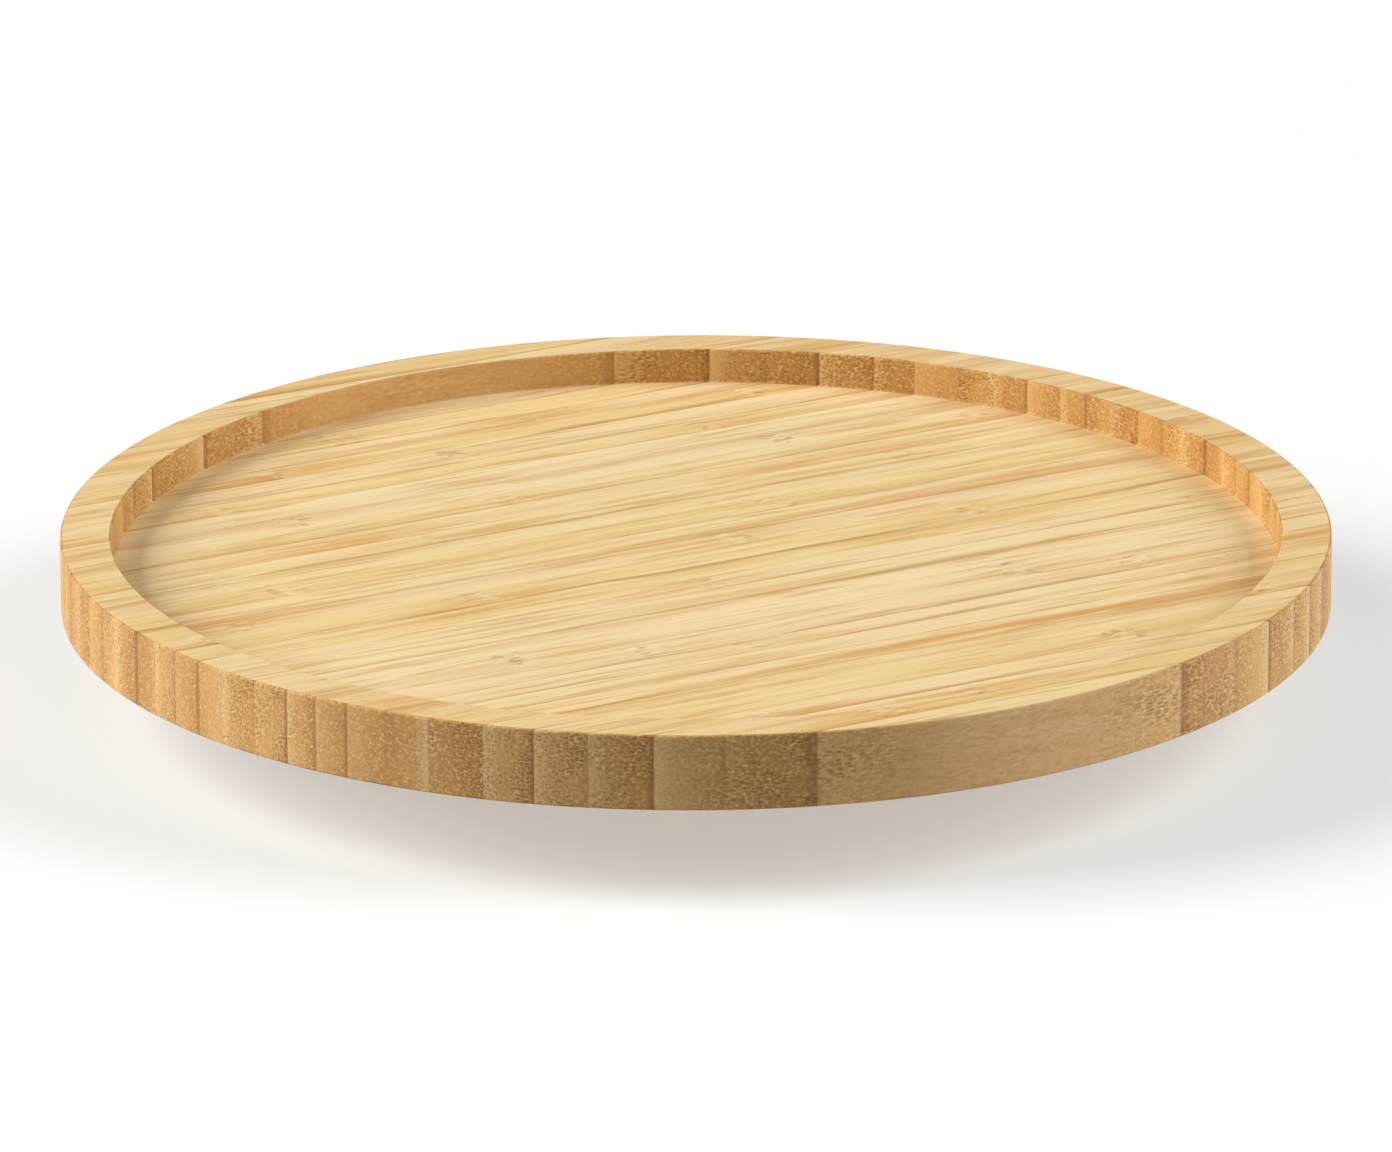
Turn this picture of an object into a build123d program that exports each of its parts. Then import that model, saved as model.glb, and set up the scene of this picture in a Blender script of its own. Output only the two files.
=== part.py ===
from build123d import *
import os
from math import cos, radians, sin, tan

# Lazy susan turntable: a rimmed bamboo tray that spins on a pressed-steel ball bearing, over a
# bamboo base disc that stands on four screwed-on rubber feet.
# Millimetres, +Z up. The origin is on the spin axis, in the plane that the feet stand on.

# ---- Driving dimensions ----------------------------------------------------------------------
# Tray: one board of edge-glued bamboo strips, with a recess milled into it.
tray_diameter = 300.0
tray_thickness = 18.0
rim_width = 12.0
recess_depth = 8.5
tray_edge_round = 0.6
rim_inner_round = 0.5
recess_corner_round = 0.5

# Base disc
base_diameter = 170.0
base_thickness = 9.0
base_edge_round = 1.5
access_hole_diameter = 18.0

# Bearing: a four-inch square swivel, two pressed plates with caged balls between them.
bearing_height = 8.0
plate_side = 101.6
plate_corner_round = 10.0
plate_hole_spacing = 88.9
plate_hole_diameter = 4.4
sheet = 1.0
race_radius = 36.0
ball_diameter = 5.0
ball_count = 20
race_clearance = 0.1
groove_clearance = 0.1
groove_slope = 35.0

# Cage that keeps the balls apart
cage_thickness = 2.4
cage_web_width = 3.6
cage_boss_radius = 3.6
pocket_clearance = 0.1

# Screw used throughout: pan head, cross recess, 3.5 x 9.5
screw_diameter = 3.5
screw_core_diameter = 2.4
screw_length = 9.5
screw_pitch = 1.2
screw_plain_length = 1.1
screw_tip_length = 2.2
thread_core_span = (0.30, 0.55)  # of each pitch, from the last crest
thread_crest_span = (0.80, 0.90)
head_diameter = 6.9
head_height = 2.3
head_round = 1.1
recess_size = 3.6
recess_slot = 0.9
recess_taper = 14.0
cross_depth = 1.5
screws_per_plate = 4

# Feet
foot_count = 4
foot_height = 5.0
foot_top_diameter = 18.0
foot_bottom_diameter = 15.0
foot_ceiling = 1.6
foot_recess_diameter = 9.0
foot_edge_round = 0.6
foot_circle_radius = 70.0
washer_diameter = 8.0
washer_hole_diameter = 4.0
washer_thickness = 0.8
washer_chamfer = 0.12

# ---- Derived levels and radii ----------------------------------------------------------------
base_bottom = foot_height
base_top = base_bottom + base_thickness
tray_bottom = base_top + bearing_height
tray_top = tray_bottom + tray_thickness
tray_radius = tray_diameter / 2
recess_radius = tray_radius - rim_width
base_radius = base_diameter / 2
ball_radius = ball_diameter / 2
ball_centre_height = base_top + bearing_height / 2
hole_circle_radius = plate_hole_spacing / 2 * 2**0.5
plate_screw_bite = screw_length - sheet  # how deep a screw goes into the wood
foot_screw_bite = screw_length - foot_ceiling - washer_thickness
lower_plate_turn = 45.0  # the lower plate's corners lie on the diagonals
upper_plate_turn = 0.0  # the upper plate's corners lie on X and Y, one above the access hole
corner_angle = 45.0  # from the middle of a square's side to its corner
foot_turn = 45.0
radius_tolerance = 0.01


def ring_angles(count, start):
    """Evenly spaced angles in degrees, counter-clockwise from start."""
    return [start + i * 360 / count for i in range(count)]


def on_circle(radius, angle, height):
    """The point at an angle on a level circle about the spin axis."""
    return (radius * cos(radians(angle)), radius * sin(radians(angle)), height)


def facing_up(origin):
    """A level plane whose normal is +Z."""
    return Plane(origin=origin, x_dir=(1, 0, 0), z_dir=(0, 0, 1))


def facing_down(origin):
    """A level plane whose normal is -Z, as the underside of a piece has."""
    return Plane(origin=origin, x_dir=(1, 0, 0), z_dir=(0, 0, -1))


def round_edges(piece, radius):
    """A piece's circular edges of one radius, lowest first."""
    circles = piece.edges().filter_by(GeomType.CIRCLE)
    matching = circles.filter_by(lambda edge: abs(edge.radius - radius) < radius_tolerance)
    return matching.sort_by(Axis.Z)


def save(piece, name):
    """Labels a finished piece and writes it to its own STEP file."""
    piece.part.label = name
    export_step(piece.part, f"parts/{name}.step")


# ---- Tray and base disc ----------------------------------------------------------------------
def make_tray():
    """The round board with its milled recess, and blind pilot holes for the bearing's screws."""
    with BuildPart() as tray:
        with BuildSketch(Plane.XY.offset(tray_bottom)):
            Circle(tray_radius)
        extrude(amount=tray_thickness)
        fillet(tray.edges(), radius=tray_edge_round)
        with BuildSketch(Plane.XY.offset(tray_top)):
            Circle(recess_radius)
        extrude(amount=-recess_depth, mode=Mode.SUBTRACT)
        fillet(round_edges(tray, recess_radius)[0], radius=recess_corner_round)
        fillet(round_edges(tray, recess_radius)[-1], radius=rim_inner_round)
        with Locations(facing_down((0, 0, tray_bottom))):
            with PolarLocations(hole_circle_radius, screws_per_plate, upper_plate_turn):
                Hole(screw_core_diameter / 2, depth=plate_screw_bite)
    save(tray, "tray")


def make_base_disc():
    """The disc under the bearing, with its pilot holes and one hole for a screwdriver.

    The tray is screwed on last, from below: each of its screws in turn is brought over that hole.
    """
    with BuildPart() as disc:
        with BuildSketch(Plane.XY.offset(base_bottom)):
            Circle(base_radius)
        extrude(amount=base_thickness)
        fillet(disc.edges(), radius=base_edge_round)
        with Locations(facing_up((0, 0, base_top))):
            with PolarLocations(hole_circle_radius, screws_per_plate, lower_plate_turn):
                Hole(screw_core_diameter / 2, depth=plate_screw_bite)
            with Locations((hole_circle_radius, 0)):
                Hole(access_hole_diameter / 2)
        with Locations(facing_down((0, 0, base_bottom))):
            with PolarLocations(foot_circle_radius, foot_count, foot_turn):
                Hole(screw_core_diameter / 2, depth=foot_screw_bite)
    save(disc, "base_disc")


# ---- Bearing ---------------------------------------------------------------------------------
# Both plates are revolved from the middle line of the sheet. Heights in these lines are above the
# face that the plate is screwed to, so the upper plate uses the same groove, turned over.
flat_level = sheet / 2
groove_radius = ball_radius + groove_clearance + sheet / 2
groove_bottom = bearing_height / 2 - ball_radius - race_clearance - sheet / 2
groove_apex = groove_bottom - groove_radius * (1 / cos(radians(groove_slope)) - 1)
outer_shoulder_level = 1.7
inner_shoulder_level = 2.0
step_inner_radius = 39.4
step_outer_radius = 40.6
ring_outer_radius = 43.0
lip_radius = 31.4
shoulder_round = 1.0
step_round = 0.8
flange_radius = 29.9
flange_round = 0.9
flare_radius = 32.6
flare_clearance = 0.25
flare_level = bearing_height - flare_clearance - sheet / 2


def groove_side(level):
    """How far from the race circle the groove's straight side reaches a level."""
    return (level - groove_apex) / tan(radians(groove_slope))


def groove_line():
    """The sheet's middle line from the inner shoulder, through the ball groove, to the flat plate."""
    return [
        (race_radius - groove_side(inner_shoulder_level), inner_shoulder_level),
        (race_radius, groove_apex),
        (race_radius + groove_side(outer_shoulder_level), outer_shoulder_level),
        (step_inner_radius, outer_shoulder_level),
        (step_outer_radius, flat_level),
        (ring_outer_radius, flat_level),
    ]


groove_rounds = [shoulder_round, groove_radius, shoulder_round, step_round, step_round]


def make_plate(name, face, side, start, start_rounds, turn):
    """A pressed square plate: the flat sheet, the revolved ball groove and four screw holes.

    face is the plane it is screwed to, and side is that plane's normal along Z. start is the inner
    part of the sheet's middle line, which differs between the two plates, and turn is the angle of
    the first corner.
    """
    profile_plane = Plane(origin=face.origin, x_dir=(1, 0, 0), z_dir=(0, -side, 0))
    with BuildPart() as plate:
        with BuildSketch(face):
            RectangleRounded(
                plate_side, plate_side, plate_corner_round, rotation=turn - corner_angle
            )
            Circle(ring_outer_radius - sheet, mode=Mode.SUBTRACT)
        extrude(amount=sheet)
        with BuildSketch(profile_plane):
            with BuildLine():
                middle = FilletPolyline(*start, *groove_line(), radius=[*start_rounds, *groove_rounds])
                offset(middle, amount=sheet / 2, side=Side.BOTH, mode=Mode.REPLACE)
            make_face()
        revolve(axis=Axis.Z)
        with Locations(face.offset(sheet)):
            with PolarLocations(hole_circle_radius, screws_per_plate, turn):
                Hole(plate_hole_diameter / 2, depth=2 * sheet)
    save(plate, name)


def make_lower_plate():
    """The plate on the base disc. Its inner edge is a plain lip, which the upper plate hooks under."""
    lip = [(lip_radius, inner_shoulder_level)]
    face = facing_up((0, 0, base_top))
    make_plate("lower_race_plate", face, 1, lip, [], lower_plate_turn)


def make_upper_plate():
    """The plate under the tray. Its inner edge runs down through the lower plate's open centre and
    flares out below the lip, which locks the two plates together."""
    flange = [
        (flare_radius, flare_level),
        (flange_radius, flare_level),
        (flange_radius, inner_shoulder_level),
    ]
    rounds = [flange_round, flange_round]
    face = facing_down((0, 0, tray_bottom))
    make_plate("upper_race_plate", face, -1, flange, rounds, upper_plate_turn)


def make_cage():
    """The ring that holds the balls apart, with a round pocket that grips each ball at its middle."""
    with BuildPart() as cage:
        with BuildSketch(Plane.XY.offset(ball_centre_height)):
            Circle(race_radius + cage_web_width / 2)
            Circle(race_radius - cage_web_width / 2, mode=Mode.SUBTRACT)
            with PolarLocations(race_radius, ball_count):
                Circle(cage_boss_radius)
        extrude(amount=cage_thickness / 2, both=True)
        with Locations(Plane.XY.offset(ball_centre_height)):
            with PolarLocations(race_radius, ball_count):
                Sphere(ball_radius + pocket_clearance, mode=Mode.SUBTRACT)
    save(cage, "ball_cage")


def make_ball(name, angle):
    """One bearing ball, in its place on the race circle."""
    with BuildPart(facing_up(on_circle(race_radius, angle, ball_centre_height))) as ball:
        Sphere(ball_radius)
    save(ball, name)


# ---- Screws and feet -------------------------------------------------------------------------
def thread_outline():
    """A screw's outline from under the head to the tip: x is the radius, y is along the screw.

    Each turn of the thread is a ridge all the way round.
    """
    core, crest = screw_core_diameter / 2, screw_diameter / 2
    tip_start = -(screw_length - screw_tip_length)
    turns = int((-screw_plain_length - tip_start) / screw_pitch)
    points = [(crest, 0), (crest, -screw_plain_length)]
    for i in range(turns):
        top = -screw_plain_length - i * screw_pitch
        points += [(core, top - fraction * screw_pitch) for fraction in thread_core_span]
        points += [(crest, top - fraction * screw_pitch) for fraction in thread_crest_span]
    return [*points, (core, tip_start), (0, -screw_length)]


def make_screw(name, seat):
    """A pan-head screw. seat is the face that its head bears on, with the normal towards the head."""
    profile_plane = Plane(origin=seat.origin, x_dir=seat.x_dir, z_dir=-seat.y_dir)
    head_radius = head_diameter / 2
    with BuildPart() as screw:
        with BuildSketch(profile_plane):
            with BuildLine():
                Polyline(
                    (0, head_height), (head_radius, head_height), (head_radius, 0), (0, 0), close=True
                )
            make_face()
            with BuildLine():
                Polyline((0, 0), *thread_outline(), close=True)
            make_face()
        revolve(axis=Axis(seat.origin, seat.z_dir))
        top_edge = screw.edges().sort_by(Axis(seat.origin, seat.z_dir))[-1]
        fillet(top_edge, radius=head_round)
        with BuildSketch(seat.offset(head_height)):
            Rectangle(recess_size, recess_slot)
            Rectangle(recess_slot, recess_size)
        extrude(amount=-cross_depth, taper=recess_taper, mode=Mode.SUBTRACT)
    save(screw, name)


def make_foot(name, centre):
    """A tapered rubber foot, recessed from below for its washer and screw head."""
    with BuildPart() as foot:
        with BuildSketch(facing_down(centre)):
            Circle(foot_top_diameter / 2)
        with BuildSketch(facing_down(centre).offset(foot_height)):
            Circle(foot_bottom_diameter / 2)
        loft()
        fillet(foot.edges().sort_by(Axis.Z)[0], radius=foot_edge_round)
        with Locations(facing_down(centre).offset(foot_height)):
            CounterBoreHole(
                washer_hole_diameter / 2, foot_recess_diameter / 2, foot_height - foot_ceiling
            )
    save(foot, name)


def make_washer(name, centre):
    """The steel washer that spreads the screw head's load over a foot."""
    with BuildPart() as washer:
        with BuildSketch(facing_down(centre)):
            Circle(washer_diameter / 2)
            Circle(washer_hole_diameter / 2, mode=Mode.SUBTRACT)
        extrude(amount=washer_thickness)
        chamfer(round_edges(washer, washer_diameter / 2), length=washer_chamfer)
    save(washer, name)


def main():
    os.makedirs("parts", exist_ok=True)
    make_tray()
    make_base_disc()
    make_lower_plate()
    make_upper_plate()
    make_cage()
    for i, angle in enumerate(ring_angles(ball_count, 0), 1):
        make_ball(f"ball_{i:02d}", angle)
    for i, angle in enumerate(ring_angles(screws_per_plate, upper_plate_turn), 1):
        seat = facing_down(on_circle(hole_circle_radius, angle, tray_bottom - sheet))
        make_screw(f"tray_screw_{i}", seat)
    for i, angle in enumerate(ring_angles(screws_per_plate, lower_plate_turn), 1):
        seat = facing_up(on_circle(hole_circle_radius, angle, base_top + sheet))
        make_screw(f"base_screw_{i}", seat)
    for i, angle in enumerate(ring_angles(foot_count, foot_turn), 1):
        washer_top = base_bottom - foot_ceiling
        make_foot(f"foot_{i}", on_circle(foot_circle_radius, angle, base_bottom))
        make_washer(f"foot_washer_{i}", on_circle(foot_circle_radius, angle, washer_top))
        seat = facing_down(on_circle(foot_circle_radius, angle, washer_top - washer_thickness))
        make_screw(f"foot_screw_{i}", seat)


main()
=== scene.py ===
"""Looks for the lazy susan turntable: a bamboo tray and base disc, a zinc-plated swivel bearing with
steel balls in a nylon cage, and rubber feet, on a plain pale floor.

Metres, +Z up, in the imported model's own frame. Solid textures are worked out in millimetres from the
object's own coordinates, so they run through a piece and turn with it.
"""

from math import cos, pi, radians, sin

import bmesh
import bpy
from mathutils import Matrix, Vector
from mathutils.geometry import tessellate_polygon


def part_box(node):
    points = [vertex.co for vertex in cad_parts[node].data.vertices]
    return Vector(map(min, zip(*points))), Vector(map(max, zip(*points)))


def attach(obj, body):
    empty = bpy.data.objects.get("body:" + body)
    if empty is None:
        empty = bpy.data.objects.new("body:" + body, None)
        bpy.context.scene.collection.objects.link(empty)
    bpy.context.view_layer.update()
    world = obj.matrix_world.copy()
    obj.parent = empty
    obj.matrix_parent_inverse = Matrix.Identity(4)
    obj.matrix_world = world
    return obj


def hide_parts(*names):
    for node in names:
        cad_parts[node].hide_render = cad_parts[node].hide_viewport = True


MM = 0.001

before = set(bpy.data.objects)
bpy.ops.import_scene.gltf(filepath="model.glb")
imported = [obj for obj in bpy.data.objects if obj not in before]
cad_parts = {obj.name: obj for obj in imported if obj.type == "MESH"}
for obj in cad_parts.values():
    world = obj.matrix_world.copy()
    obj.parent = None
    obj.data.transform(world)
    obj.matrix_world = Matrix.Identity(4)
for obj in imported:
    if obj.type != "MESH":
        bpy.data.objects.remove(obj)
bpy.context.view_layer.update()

tray_low, tray_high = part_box("tray")
tray_radius = tray_high.x


# ---- Node trees ------------------------------------------------------------------------------
class Tree:
    """The nodes of a material or a world. Each call adds one node and returns its output, and takes
    outputs or values."""

    def __init__(self, owner, shader="Principled BSDF"):
        owner.use_nodes = True
        self.owner = owner
        self.nodes = owner.node_tree.nodes
        self.links = owner.node_tree.links
        self.shader = self.nodes[shader]

    def plug(self, socket, value):
        """Links an output to a socket, or sets the socket to a plain value."""
        if isinstance(value, bpy.types.NodeSocket):
            self.links.new(value, socket)
        else:
            socket.default_value = value

    def node(self, kind, **settings):
        node = self.nodes.new("ShaderNode" + kind)
        for key, value in settings.items():
            setattr(node, key, value)
        return node

    def set(self, socket_name, value):
        """Gives the shader's socket a value or a link."""
        self.plug(self.shader.inputs[socket_name], value)

    def math(self, operation, *values):
        node = self.node("Math", operation=operation)
        for socket, value in zip(node.inputs, values):
            self.plug(socket, value)
        return node.outputs[0]

    def step(self, value, start, end, low=0.0, high=1.0):
        """Goes smoothly from low to high as value goes from start to end. start may be above end."""
        node = self.node("MapRange", interpolation_type="SMOOTHSTEP")
        for socket, given in zip(node.inputs, (value, start, end, low, high)):
            self.plug(socket, given)
        return node.outputs[0]

    def remap(self, value, start, end, low, high):
        """Goes in a straight line from low to high as value goes from start to end, and stops there."""
        node = self.node("MapRange")
        for socket, given in zip(node.inputs, (value, start, end, low, high)):
            self.plug(socket, given)
        return node.outputs[0]

    def times(self, *values):
        product = values[0]
        for value in values[1:]:
            product = self.math("MULTIPLY", product, value)
        return product

    def blend(self, colour, amount, other):
        """The colour, with that much of the other in it."""
        return self.mix(amount, colour, other)

    def mix(self, factor, a, b, blend="MIX"):
        """Mixes two colours."""
        node = self.node("Mix", data_type="RGBA", blend_type=blend)
        self.plug(node.inputs["Factor"], factor)
        self.plug(node.inputs[6], a)
        self.plug(node.inputs[7], b)
        return node.outputs[2]

    def combine(self, x, y, z):
        node = self.node("CombineXYZ")
        for socket, value in zip(node.inputs, (x, y, z)):
            self.plug(socket, value)
        return node.outputs[0]

    def separate(self, vector):
        node = self.node("SeparateXYZ")
        self.plug(node.inputs[0], vector)
        return node.outputs

    def noise(self, vector, scale=1.0, detail=2.0, roughness=0.5):
        """Soft noise about 0.5, in three dimensions."""
        node = self.node("TexNoise")
        self.plug(node.inputs["Vector"], vector)
        self.plug(node.inputs["Scale"], scale)
        self.plug(node.inputs["Detail"], detail)
        self.plug(node.inputs["Roughness"], roughness)
        return node.outputs[0]

    def scatter(self, vector):
        """Points scattered over a plane, about a unit apart: distance to the nearest, and its own colour."""
        node = self.node("TexVoronoi", feature="F1", voronoi_dimensions="2D")
        self.plug(node.inputs["Vector"], vector)
        self.plug(node.inputs["Scale"], 1.0)
        self.plug(node.inputs["Randomness"], 0.85)
        return node.outputs["Distance"], node.outputs["Color"]

    def white(self, value):
        """Three random numbers from 0 to 1, the same wherever value is the same."""
        node = self.node("TexWhiteNoise", noise_dimensions="1D")
        self.plug(node.inputs["W"], value)
        split = self.node("SeparateColor")
        self.links.new(node.outputs["Color"], split.inputs[0])
        return split.outputs

    def coordinates(self, turn=0.0):
        """The piece's own coordinates in millimetres, and its own normal, seen from axes turned about Z."""
        source = self.node("TexCoord")
        out = []
        for name, scale in (("Object", 1 / MM), ("Normal", 1.0)):
            mapping = self.node("Mapping")
            mapping.inputs["Rotation"].default_value = (0, 0, -turn)
            mapping.inputs["Scale"].default_value = (scale, scale, scale)
            self.links.new(source.outputs[name], mapping.inputs["Vector"])
            out.append(mapping.outputs[0])
        return out

    def bump(self, height, distance, strength=1.0):
        """Tilts the surface as if height, from 0 to 1, were that many metres."""
        node = self.node("Bump")
        node.inputs["Strength"].default_value = strength
        node.inputs["Distance"].default_value = distance
        self.links.new(height, node.inputs["Height"])
        return node.outputs[0]


def new_material(name):
    return Tree(bpy.data.materials.new(name))


def srgb(red, green, blue):
    """A colour from its usual 0 to 255 screen values, as linear numbers with alpha."""
    def linear(value):
        value /= 255
        return value / 12.92 if value <= 0.04045 else ((value + 0.055) / 1.055) ** 2.4
    return (linear(red), linear(green), linear(blue), 1.0)


# ---- Bamboo ----------------------------------------------------------------------------------
STRIP = 8.8  # across the grain
STRIP_SWAY = 0.36  # of a strip: how far the joints stray from even spacing
FACING_LEFT = 0.28  # share of the strips whose skin is on the side of lower across
OWN_STEP = 17.3  # between one strip's part of the noise and the next one's
SECOND_DRAW = 500.5  # added to the seed for each strip's second three random numbers
DRIFT = 4.0  # how far the fibres stray as they run
JOINT = 0.14  # half the width of a glue line
NODE_SPACING = 132.0  # from one ring of the cane to the next, along a strip
NODE_SLANT = 0.03  # of the spacing: how far a ring leans across its strip
BUNDLE = 0.68  # between the cane's fibre bundles, near the skin
RIM_REACH = 138.0  # from the axis: beyond it, hands and milling have left the board a little browner

PALE = srgb(251, 227, 177)
WARM = srgb(247, 216, 165)
GOLD = srgb(241, 209, 142)
AMBER = srgb(223, 170, 101)
FIBRE = srgb(213, 168, 107)
SKIN_BROWN = srgb(188, 138, 76)
JOINT_BROWN = srgb(166, 116, 62)
NODE_BROWN = srgb(160, 112, 60)
NODE_PALE = srgb(252, 234, 190)
BROAD = srgb(214, 162, 96)
RIM_TINT = (0.955, 0.917, 0.863, 1.0)
END_PALE = srgb(218, 170, 103)
END_DARK = srgb(195, 142, 77)
END_DOT = srgb(145, 94, 44)
END_LIGHT = srgb(238, 202, 142)


class Bamboo(Tree):
    """Edge-glued strips on edge, sanded and sealed. turn is the grain's direction from +X."""

    def __init__(self, name, turn, seed):
        super().__init__(bpy.data.materials.new(name))
        place, normal = self.coordinates(turn)
        self.along, self.across, self.up = self.separate(place)
        self.facing_along, self.facing_across, self.facing_up = self.separate(normal)
        self.find_strips(seed)
        self.find_fibres(seed)
        self.find_rings()
        self.finish()

    def find_strips(self, seed):
        """Which strip, and where in it: skin is 0 at the side of the cane's inner wall and 1 at its skin."""
        even = self.math("DIVIDE", self.across, STRIP)
        sway = self.noise(self.combine(seed, even, 0.0), scale=0.4, detail=0.0)
        spread = self.math("MULTIPLY_ADD", sway, 2 * STRIP_SWAY, even)
        strip = self.math("FLOOR", spread)
        self.own = self.times(strip, OWN_STEP)
        self.raw = self.math("FRACT", spread)
        self.tone, self.tint, self.phase = self.white(self.math("ADD", strip, seed))
        self.flip, self.rare, self.contrast = self.white(self.math("ADD", strip, seed + SECOND_DRAW))
        flipped = self.math("GREATER_THAN", self.flip, FACING_LEFT)
        self.skin = self.math("ABSOLUTE", self.math("SUBTRACT", flipped, self.raw))
        self.under_skin = self.math("MULTIPLY_ADD", self.skin, -STRIP, STRIP)  # millimetres in from the skin
        nearest = self.math("MINIMUM", self.raw, self.math("SUBTRACT", 1.0, self.raw))
        self.edge = self.times(nearest, STRIP)

    def find_fibres(self, seed):
        """Fibres drift slowly up, down and sideways as they run, each strip in its own way."""
        drift_place = self.combine(
            self.times(self.along, 0.016), self.math("MULTIPLY_ADD", self.across, 0.10, self.own), seed
        )
        drift = self.noise(drift_place, detail=1.0)
        self.wander = self.math("MULTIPLY_ADD", drift, DRIFT, self.across)
        self.rise = self.math("MULTIPLY_ADD", drift, DRIFT, self.math("ADD", self.up, self.own))
        self.dense = self.step(self.skin, 0.15, 0.75)
        sparse = self.math("SUBTRACT", 1.0, self.dense)
        near_skin = self.times(self.bundles(BUNDLE, 0.60, 0.20), self.dense)
        near_pith = self.times(self.bundles(1.2 * BUNDLE, 0.54, 0.14), sparse, 0.75)
        self.dots = self.math("ADD", near_skin, near_pith)
        self.streak = self.streaks(0.026, 0.42, 2.0)
        self.hair = self.streaks(0.045, 1.7, 2.0)
        self.cloud = self.streaks(0.010, 0.20, 1.0)
        self.flecks = self.streaks(0.24, 0.60, 1.5)

    def bundles(self, pitch, size, core):
        """Fibre bundles: dots where they are cut across, streaks along the grain."""
        x, y = (self.math("DIVIDE", value, pitch) for value in (self.wander, self.rise))
        distance, colour = self.scatter(self.combine(x, y, 0.0))
        strength = self.remap(self.separate(colour)[0], 0.0, 1.0, 0.45, 1.0)
        return self.times(self.step(distance, size, core), strength)

    def streaks(self, pace, width, detail):
        """Noise drawn out along the grain. pace and width are per millimetre along and across it."""
        height = self.math("MULTIPLY_ADD", self.up, width, self.own)
        where = self.combine(self.times(self.along, pace), self.times(self.wander, width), height)
        return self.noise(where, detail=detail, roughness=0.6)

    def find_rings(self):
        """Rings of the cane: a clump of brown and pale flecks across each strip, and a stain about it."""
        turns = self.math("ADD", self.math("DIVIDE", self.along, NODE_SPACING), self.phase)
        turns = self.math("MULTIPLY_ADD", self.math("SUBTRACT", self.raw, 0.5), NODE_SLANT, turns)
        off_centre = self.math("SUBTRACT", self.math("FRACT", turns), 0.5)
        from_node = self.times(self.math("ABSOLUTE", off_centre), NODE_SPACING)
        self.clump = self.times(
            self.step(from_node, 8.0, 0.5), self.step(self.contrast, 0.1, 0.8, 0.2, 1.0)
        )
        self.stain = self.times(
            self.step(from_node, 38.0, 3.0),
            self.step(self.tint, 0.45, 0.95, 0.3, 1.0),
            self.step(self.skin, 0.0, 0.6, 0.35, 0.75),
            self.step(self.streak, 0.40, 0.56, 0.35, 1.0),
        )

    def long_grain(self):
        """Colour along the grain: a pale or golden ground, with brown fibre streaks and the cane's rings."""
        colour = self.mix(self.tint, PALE, WARM)
        colour = self.blend(colour, self.step(self.tone, 0.3, 1.0, 0.0, 0.7), GOLD)
        orange = self.times(
            self.step(self.rare, 0.88, 0.93),
            self.step(self.cloud, 0.42, 0.62),
            self.step(self.skin, 0.0, 0.7),
        )
        colour = self.blend(colour, orange, AMBER)
        brown = self.times(self.dense, self.step(self.cloud, 0.35, 0.65, 0.0, 0.35))
        colour = self.blend(colour, brown, FIBRE)
        colour = self.blend(colour, self.step(self.streak, 0.51, 0.70, 0.0, 0.62), FIBRE)
        colour = self.blend(colour, self.step(self.streak, 0.47, 0.32, 0.0, 0.65), PALE)
        colour = self.blend(colour, self.step(self.hair, 0.54, 0.76, 0.0, 0.14), FIBRE)
        colour = self.mix(self.on_rim(), colour, RIM_TINT, "MULTIPLY")
        colour = self.blend(colour, self.times(self.dots, 0.10), FIBRE)
        colour = self.blend(colour, self.stain, AMBER)
        skin_line = self.times(self.skin_line(), self.remap(self.phase, 0.0, 1.0, 0.15, 0.7))
        colour = self.blend(colour, skin_line, SKIN_BROWN)
        pale_flecks = self.times(self.clump, self.step(self.flecks, 0.50, 0.38), 0.40)
        brown_flecks = self.times(self.clump, self.step(self.flecks, 0.53, 0.66), 0.48)
        return self.blend(self.blend(colour, pale_flecks, NODE_PALE), brown_flecks, NODE_BROWN)

    def on_rim(self):
        """1 on the top of the tray's rim."""
        squares = self.math("ADD", self.times(self.along, self.along), self.times(self.across, self.across))
        beyond = self.step(self.math("SQRT", squares), RIM_REACH - 1, RIM_REACH + 1)
        return self.times(beyond, self.step(self.facing_up, 0.0, 0.5))

    def skin_line(self):
        """The dark line of the skin, which the plane has left in some places and taken off in others."""
        width = self.remap(self.streaks(0.024, 0.05, 1.0), 0.42, 0.68, 0.1, 3.0)
        return self.step(self.math("DIVIDE", self.under_skin, width), 1.0, 0.0)

    def broad_face(self):
        """Colour where the board's side runs with the grain: smooth, with short dashes of cut fibres."""
        colour = self.blend(BROAD, self.step(self.streak, 0.45, 0.75, 0.0, 0.35), END_DARK)
        colour = self.blend(colour, self.step(self.cloud, 0.55, 0.30, 0.0, 0.20), END_LIGHT)
        flecks = self.times(self.clump, self.step(self.flecks, 0.50, 0.60), 0.55)
        colour = self.blend(colour, flecks, END_DOT)
        dashes = self.streaks(0.50, 1.5, 1.0)
        colour = self.blend(colour, self.step(dashes, 0.50, 0.70, 0.0, 0.28), END_DOT)
        return self.blend(colour, self.step(dashes, 0.46, 0.30, 0.0, 0.30), END_LIGHT)

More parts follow.
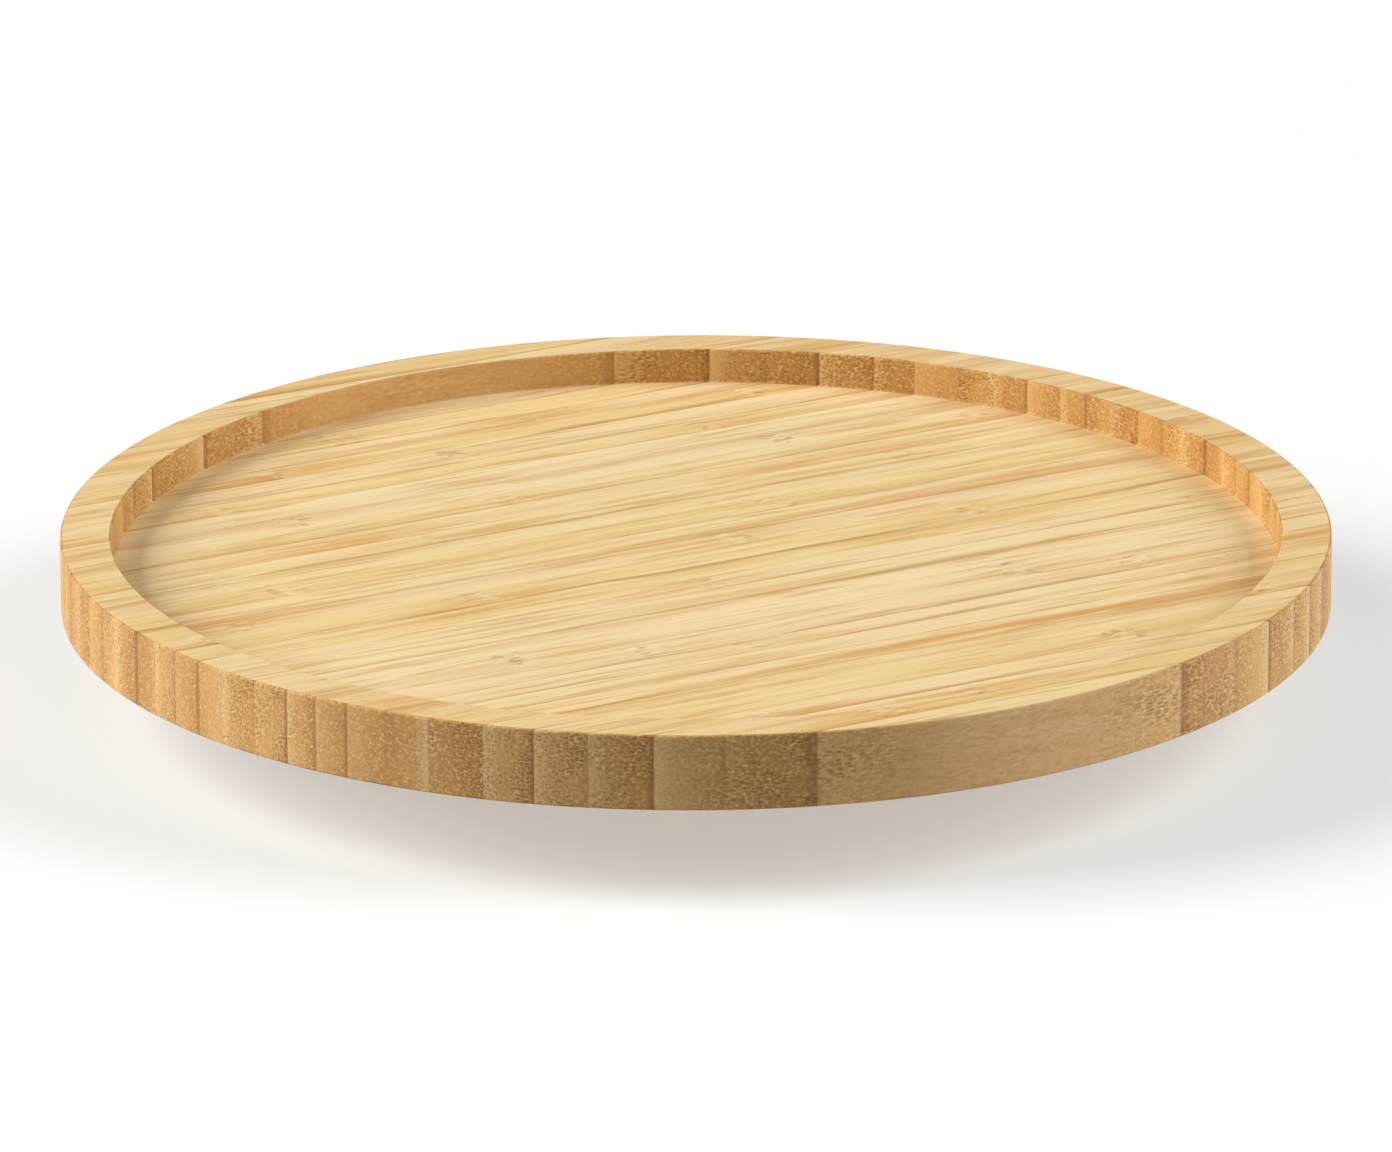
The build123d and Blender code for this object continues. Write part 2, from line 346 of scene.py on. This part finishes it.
    def end_grain(self):
        """Colour of the cut ends: a mottled pale ground with brown bundles, darkest at the skin."""
        patch_place = self.combine(self.times(self.wander, 0.22), self.times(self.up, 0.10), self.own)
        patch = self.noise(patch_place, detail=1.0)
        vivid = self.times(
            self.step(self.contrast, 0.0, 0.7, 0.40, 1.0), self.step(patch, 0.36, 0.60, 0.40, 1.0)
        )
        colour = self.blend(END_PALE, self.step(self.tone, 0.2, 1.0, 0.0, 0.85), END_DARK)
        pith = self.times(self.step(self.skin, 0.35, 0.0), self.step(self.rare, 0.9, 0.2, 0.1, 0.6))
        colour = self.blend(colour, pith, END_LIGHT)
        colour = self.blend(colour, self.step(self.skin, 0.30, 1.0, 0.0, 0.50), END_DARK)
        pulp = self.streaks(1.2, 1.3, 1.5)
        mottle = self.times(self.step(pulp, 0.53, 0.33), self.remap(vivid, 0.2, 1.0, 0.45, 0.85))
        colour = self.blend(colour, mottle, END_LIGHT)
        colour = self.blend(colour, self.times(self.dots, vivid), END_DOT)
        shade = self.times(self.step(self.under_skin, 1.3, 0.0), self.step(self.phase, 0.2, 0.95, 0.0, 0.75))
        return self.blend(colour, shade, END_DOT)

    def finish(self):
        """Puts the three cuts together with the glue lines, and gives the shader its colour and relief."""
        broad_on = self.step(self.math("ABSOLUTE", self.facing_across), 0.3, 0.9, 0.0, 0.85)
        end_on = self.step(self.math("ABSOLUTE", self.facing_along), 0.07, 0.27)
        colour = self.blend(self.long_grain(), broad_on, self.broad_face())
        colour = self.blend(colour, end_on, self.end_grain())
        line = self.times(self.step(self.edge, 2 * JOINT, 0.0), self.step(self.cloud, 0.42, 0.60, 0.1, 1.0))
        glue = self.times(line, self.remap(self.flip, 0.0, 1.0, 0.1, 0.55))
        colour = self.blend(colour, glue, JOINT_BROWN)
        self.set("Base Color", colour)
        roughness = self.remap(self.streak, 0.3, 0.7, 0.42, 0.54)
        self.set("Roughness", self.math("MULTIPLY_ADD", end_on, 0.12, roughness))
        self.set("Specular IOR Level", 0.42)
        relief = self.math("SUBTRACT", self.times(self.hair, 0.5), self.times(self.dots, 0.5))
        relief = self.math("SUBTRACT", relief, self.times(line, 0.4))
        self.set("Normal", self.bump(relief, 0.03 * MM, 0.5))


# ---- Metal, nylon and rubber -------------------------------------------------------------------
def make_zinc(name):
    """Bright zinc plate on pressed steel: fine spangle, rolling lines and a faint cool tarnish."""
    tree = new_material(name)
    place = tree.coordinates()[0]
    mottle = tree.noise(place, scale=0.12, detail=4.0, roughness=0.6)
    grain = tree.noise(place, scale=3.0, detail=3.0, roughness=0.7)
    x, y, z = tree.separate(place)
    rolled = tree.noise(tree.combine(tree.times(x, 0.02), tree.times(y, 6.0), z), detail=2.0)
    colour = tree.mix(tree.step(mottle, 0.35, 0.65), srgb(196, 200, 204), srgb(214, 213, 206))
    colour = tree.mix(tree.step(mottle, 0.60, 0.75, 0.0, 0.35), colour, srgb(176, 186, 198))
    tree.set("Base Color", colour)
    tree.set("Metallic", 1.0)
    rough = tree.remap(mottle, 0.3, 0.7, 0.24, 0.38)
    tree.set("Roughness", tree.math("MULTIPLY_ADD", tree.math("SUBTRACT", rolled, 0.5), 0.16, rough))
    tree.set("Normal", tree.bump(grain, 0.01 * MM, 0.5))
    return tree.owner


def make_ball_steel(name):
    """Polished bearing steel under a smear of grease."""
    tree = new_material(name)
    place = tree.coordinates()[0]
    smear = tree.noise(place, scale=0.6, detail=3.0)
    tree.set("Base Color", tree.mix(smear, srgb(205, 206, 210), srgb(188, 186, 180)))
    tree.set("Metallic", 1.0)
    tree.set("Roughness", tree.remap(smear, 0.35, 0.7, 0.06, 0.22))
    return tree.owner


def make_nylon(name):
    """Natural moulded nylon: milky, with a fine moulded texture."""
    tree = new_material(name)
    place = tree.coordinates()[0]
    haze = tree.noise(place, scale=0.2, detail=3.0)
    fine = tree.noise(place, scale=6.0, detail=2.0)
    tree.set("Base Color", tree.mix(haze, srgb(232, 228, 214), srgb(220, 214, 196)))
    tree.set("Roughness", tree.remap(haze, 0.3, 0.7, 0.38, 0.5))
    tree.set("Subsurface Weight", 0.15)
    tree.set("Subsurface Radius", (2.0 * MM, 1.8 * MM, 1.4 * MM))
    tree.set("Normal", tree.bump(fine, 0.01 * MM, 0.4))
    return tree.owner


def make_rubber(name):
    """Black moulded rubber with a bloom of dust."""
    tree = new_material(name)
    place = tree.coordinates()[0]
    bloom = tree.noise(place, scale=0.5, detail=4.0, roughness=0.65)
    fine = tree.noise(place, scale=5.0, detail=3.0)
    tree.set("Base Color", tree.mix(tree.step(bloom, 0.45, 0.75), srgb(34, 34, 35), srgb(58, 57, 55)))
    tree.set("Roughness", tree.remap(bloom, 0.3, 0.7, 0.62, 0.86))
    tree.set("Normal", tree.bump(fine, 0.02 * MM, 0.5))
    return tree.owner


def dress(material, *prefixes):
    """Gives the material to every CAD node whose name starts with one of the prefixes."""
    for name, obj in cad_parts.items():
        if name.startswith(prefixes):
            for slot in obj.material_slots:
                slot.material = material


dress(make_zinc("zinc_plate"), "lower_race_plate", "upper_race_plate", "tray_screw", "base_screw",
      "foot_screw", "foot_washer")
dress(make_nylon("natural_nylon"), "ball_cage")
dress(make_ball_steel("ball_steel"), "ball_0", "ball_1", "ball_2")
dress(make_rubber("black_rubber"), "foot_1", "foot_2", "foot_3", "foot_4")


# ---- Turned boards -----------------------------------------------------------------------------
DISC_TURNS = 720  # facets round a disc
BORE_TURNS = 96
ROUND_STEPS = 8  # facets across a rounded edge
SHARP = radians(40)

TRAY_EDGE_ROUND = 0.6 * MM
RIM_WIDTH = 12.0 * MM
RIM_INNER_ROUND = 0.5 * MM
RECESS_DEPTH = 8.5 * MM
RECESS_CORNER_ROUND = 0.5 * MM
BASE_EDGE_ROUND = 1.5 * MM
PILOT_RADIUS = 1.2 * MM
PLATE_SCREW_BITE = 8.5 * MM
FOOT_SCREW_BITE = 7.1 * MM
ACCESS_RADIUS = 9.0 * MM
SCREWS = range(1, 5)

GRAIN_TURN = radians(29.0)
BASE_GRAIN_TURN = radians(-14.0)


def rounded(radius, height, size, start, end):
    """Points of a rounded edge about a centre, as (radius, height). A negative size is a hollow corner."""
    angles = [radians(start + (end - start) * i / ROUND_STEPS) for i in range(ROUND_STEPS + 1)]
    return [(radius + size * cos(angle), height + size * sin(angle)) for angle in angles]


def bores_over(prefix, radius, mouth, end):
    """Bores in line with the four screws of a set, as (x, y, radius, height of mouth, height of end)."""
    middles = [sum(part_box(f"{prefix}_{i}"), Vector()) / 2 for i in SCREWS]
    return [(middle.x, middle.y, radius, mouth, end) for middle in middles]


def turn_board(node, body, material, profile, bores):
    """A board turned to a profile that goes from its underside, round its edge and over its top."""
    vertices, faces = [], []

    def ring(x, y, radius, z, count):
        first = len(vertices)
        angles = [2 * pi * i / count for i in range(count)]
        vertices.extend((x + radius * cos(angle), y + radius * sin(angle), z) for angle in angles)
        return list(range(first, first + count))

    def wall(lower, upper):
        for i, corner in enumerate(lower):
            faces.append((upper[i - 1], lower[i - 1], corner, upper[i]))

    rings = [ring(0.0, 0.0, radius, z, DISC_TURNS) for radius, z in profile]
    for lower, upper in zip(rings, rings[1:]):
        wall(lower, upper)
    levels = {profile[0][1]: [rings[0]], profile[-1][1]: [rings[-1]]}
    for x, y, radius, mouth, end in bores:
        mouth_ring, end_ring = (ring(x, y, radius, z, BORE_TURNS) for z in (mouth, end))
        wall(mouth_ring, end_ring)
        levels[mouth].append(mouth_ring)
        if end in levels:
            levels[end].append(end_ring)
        else:
            faces.append(end_ring)
    for outlines in levels.values():
        corners = sum(outlines, [])
        triangles = tessellate_polygon([[Vector(vertices[i]) for i in outline] for outline in outlines])
        faces.extend([corners[i] for i in triangle] for triangle in triangles)

    mesh = bpy.data.meshes.new(node + "_board")
    mesh.from_pydata(vertices, [], faces)
    welded = bmesh.new()
    welded.from_mesh(mesh)
    bmesh.ops.recalc_face_normals(welded, faces=welded.faces)
    welded.to_mesh(mesh)
    welded.free()
    mesh.shade_smooth()
    mesh.set_sharp_from_angle(angle=SHARP)
    mesh.materials.append(material)
    board = bpy.data.objects.new(node + "_board", mesh)
    bpy.context.scene.collection.objects.link(board)
    normals = board.modifiers.new("flat faces stay flat", "WEIGHTED_NORMAL")
    normals.keep_sharp = True
    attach(board, body)
    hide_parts(node)


def make_tray():
    low, high, outer = tray_low.z, tray_high.z, tray_radius
    inner = outer - RIM_WIDTH
    recess_floor = high - RECESS_DEPTH
    edge, lip, corner = TRAY_EDGE_ROUND, RIM_INNER_ROUND, RECESS_CORNER_ROUND
    profile = (
        rounded(outer - edge, low + edge, edge, -90, 0)
        + rounded(outer - edge, high - edge, edge, 0, 90)
        + rounded(inner + lip, high - lip, lip, 90, 180)
        + rounded(inner - corner, recess_floor + corner, -corner, 180, 90)
    )
    profile[0] = (profile[0][0], low)  # free of rounding, so that the bores open on it
    bores = bores_over("tray_screw", PILOT_RADIUS, low, low + PLATE_SCREW_BITE)
    turn_board("tray", "tray", Bamboo("bamboo_tray", GRAIN_TURN, 3.0).owner, profile, bores)


def make_base_disc():
    (low, high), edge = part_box("base_disc"), BASE_EDGE_ROUND
    outer = high.x
    profile = rounded(outer - edge, low.z + edge, edge, -90, 0)
    profile += rounded(outer - edge, high.z - edge, edge, 0, 90)
    profile[0], profile[-1] = (outer - edge, low.z), (outer - edge, high.z)  # free of rounding, as above
    bores = bores_over("base_screw", PILOT_RADIUS, high.z, high.z - PLATE_SCREW_BITE)
    bores += bores_over("foot_screw", PILOT_RADIUS, low.z, low.z + FOOT_SCREW_BITE)
    screw_circle = Vector(bores[0][:2]).length
    bores.append((screw_circle, 0.0, ACCESS_RADIUS, low.z, high.z))
    turn_board("base_disc", "base", Bamboo("bamboo_base", BASE_GRAIN_TURN, 41.0).owner, profile, bores)


make_tray()
make_base_disc()


# ---- Floor, lights and camera ------------------------------------------------------------------
FLOOR_HALF = 8.0
FLOOR_GAP = 0.2 * MM
BACKDROP_HEIGHT = 6.0
BLACK, FLOOR_GREY, WHITE = ((value, value, value, 1.0) for value in (0.0, 0.62, 1.0))
GLOW_NEAR, GLOW_FAR = 0.38, 0.98  # of the floor; the backdrop glows as the floor does far away
GLOW_START, GLOW_END = 0.25, 3.0  # from the axis
BOX_SIZE = 2.4
BOX_DISTANCE = 3.5
BOX_TARGET = (0.0, 0.0, 0.03)
SHEEN = 0.2  # of a soft box's light that shows as its reflection


def stage_piece(name, corners, faces, tree):
    """A part of the studio. It shows and takes shadows, but doesn't brighten the object."""
    mesh = bpy.data.meshes.new(name)
    mesh.from_pydata(corners, [], faces)
    mesh.materials.append(tree.owner)
    piece = bpy.data.objects.new(name, mesh)
    bpy.context.scene.collection.objects.link(piece)
    piece.visible_diffuse = False
    return piece


def make_studio():
    """A wide plain floor just under the feet, which glows a little so that shadows on it stay soft and
    pale, and a plain pale backdrop all round and above. From below, the floor is clear."""
    floor = new_material("pale_floor")
    floor.set("Roughness", 0.7)
    floor.set("Specular IOR Level", 0.2)
    floor.set("Base Color", FLOOR_GREY)
    floor.set("Emission Color", WHITE)
    place = floor.node("TexCoord").outputs["Object"]
    away = floor.node("VectorMath", operation="LENGTH")
    floor.links.new(place, away.inputs[0])
    glow = floor.step(away.outputs["Value"], GLOW_START, GLOW_END, GLOW_NEAR, GLOW_FAR)
    floor.set("Emission Strength", glow)
    clear = floor.node("BsdfTransparent")
    side = floor.node("MixShader")
    floor.links.new(floor.node("NewGeometry").outputs["Backfacing"], side.inputs[0])
    floor.links.new(floor.shader.outputs[0], side.inputs[1])
    floor.links.new(clear.outputs[0], side.inputs[2])
    floor.links.new(side.outputs[0], floor.nodes["Material Output"].inputs["Surface"])
    half = FLOOR_HALF
    square = [(-half, -half), (half, -half), (half, half), (-half, half)]
    low = [(x, y, -FLOOR_GAP) for x, y in square]
    stage_piece("floor", low, [(0, 1, 2, 3)], floor)

    wall = new_material("pale_backdrop")
    wall.set("Base Color", BLACK)
    wall.set("Roughness", 1.0)
    wall.set("Emission Color", WHITE)
    wall.set("Emission Strength", GLOW_FAR)
    high = [(x, y, BACKDROP_HEIGHT) for x, y in square]
    sides = [(i, (i + 1) % 4, (i + 1) % 4 + 4, i + 4) for i in range(4)]
    backdrop = stage_piece("backdrop", low + high, sides + [(4, 5, 6, 7)], wall)
    backdrop.visible_shadow = False
    backdrop.visible_glossy = False


def aim(obj, target):
    """Points a light or a camera at a place."""
    direction = Vector(target) - obj.location
    obj.rotation_euler = direction.to_track_quat("-Z", "Y").to_euler()


def around(azimuth, elevation, distance):
    """A place about the object. Azimuth is from the camera's side, counter-clockwise seen from above."""
    level = distance * cos(radians(elevation))
    turn = radians(azimuth)
    return (level * sin(turn), -level * cos(turn), distance * sin(radians(elevation)))


def add_soft_box(name, azimuth, elevation, watts, colour):
    """A square soft box, as two lamps: one that lights the object, and a dimmer one that it reflects."""
    for ending, share in (("", 1.0), ("_sheen", SHEEN)):
        light = bpy.data.lights.new(name + ending, "AREA")
        light.size = BOX_SIZE
        light.energy = share * watts
        light.color = colour
        lamp = bpy.data.objects.new(name + ending, light)
        bpy.context.scene.collection.objects.link(lamp)
        lamp.location = around(azimuth, elevation, BOX_DISTANCE)
        lamp.visible_glossy = ending == "_sheen"
        lamp.visible_diffuse = ending == ""
        aim(lamp, BOX_TARGET)


SKY_STRENGTH = 0.03
TABLE_STRENGTH = 1.24
TABLE_LEFT = (1.0, 0.95, 0.91, 1.0)
TABLE_RIGHT = (1.22, 1.27, 1.30, 1.0)


def light_the_scene():
    """Soft studio light: dim overall, two big boxes at the sides, and what a white table gives back to
    the sides of the object, which fades where the object shades the table in front and behind."""
    world = bpy.data.worlds.new("studio")
    bpy.context.scene.world = world
    world.cycles.sampling_method = "NONE"  # the floor would stop light sampled from below it
    tree = Tree(world, "Background")
    x, y, z = tree.separate(tree.node("TexCoord").outputs["Generated"])
    tree.set("Color", tree.mix(tree.remap(x, -1.0, 1.0, 0.0, 1.0), TABLE_LEFT, TABLE_RIGHT))
    from_table = tree.times(x, x, TABLE_STRENGTH)
    below = tree.step(z, 0.0, -0.02)
    above = tree.math("SUBTRACT", 1.0, below)
    strength = tree.math("ADD", tree.times(above, SKY_STRENGTH), tree.times(below, from_table))
    tree.set("Strength", strength)
    add_soft_box("left_box", -88, 32, 160.0, (1.0, 0.985, 0.955))
    add_soft_box("right_box", 88, 32, 102.0, (0.985, 1.0, 1.03))
    add_soft_box("front_box", 0, 35, 12.0, (1.0, 1.0, 1.0))


FOCAL_LENGTH = 316.06  # on a sensor 36 mm wide
CAMERA_DISTANCE = 19.265 * tray_radius
CAMERA_ELEVATION = radians(18.59)
CAMERA_ROLL = radians(-0.23)
AIM_BELOW_TOP = 0.0843 * tray_radius


def make_camera():
    """A long lens, level with the view that shows the floor of the tray at a low angle."""
    data = bpy.data.cameras.new("camera")
    data.lens = FOCAL_LENGTH
    data.sensor_width = 36.0
    data.clip_end = 50.0
    camera = bpy.data.objects.new("camera", data)
    bpy.context.scene.collection.objects.link(camera)
    target = Vector((0, 0, tray_high.z - AIM_BELOW_TOP))
    back = Vector((0, -cos(CAMERA_ELEVATION), sin(CAMERA_ELEVATION)))
    camera.location = target + CAMERA_DISTANCE * back
    aim(camera, target)
    camera.rotation_euler = (
        camera.rotation_euler.to_matrix() @ Matrix.Rotation(CAMERA_ROLL, 3, "Z")
    ).to_euler()
    bpy.context.scene.camera = camera


make_studio()
light_the_scene()
make_camera()
bpy.context.scene.view_settings.view_transform = "Standard"
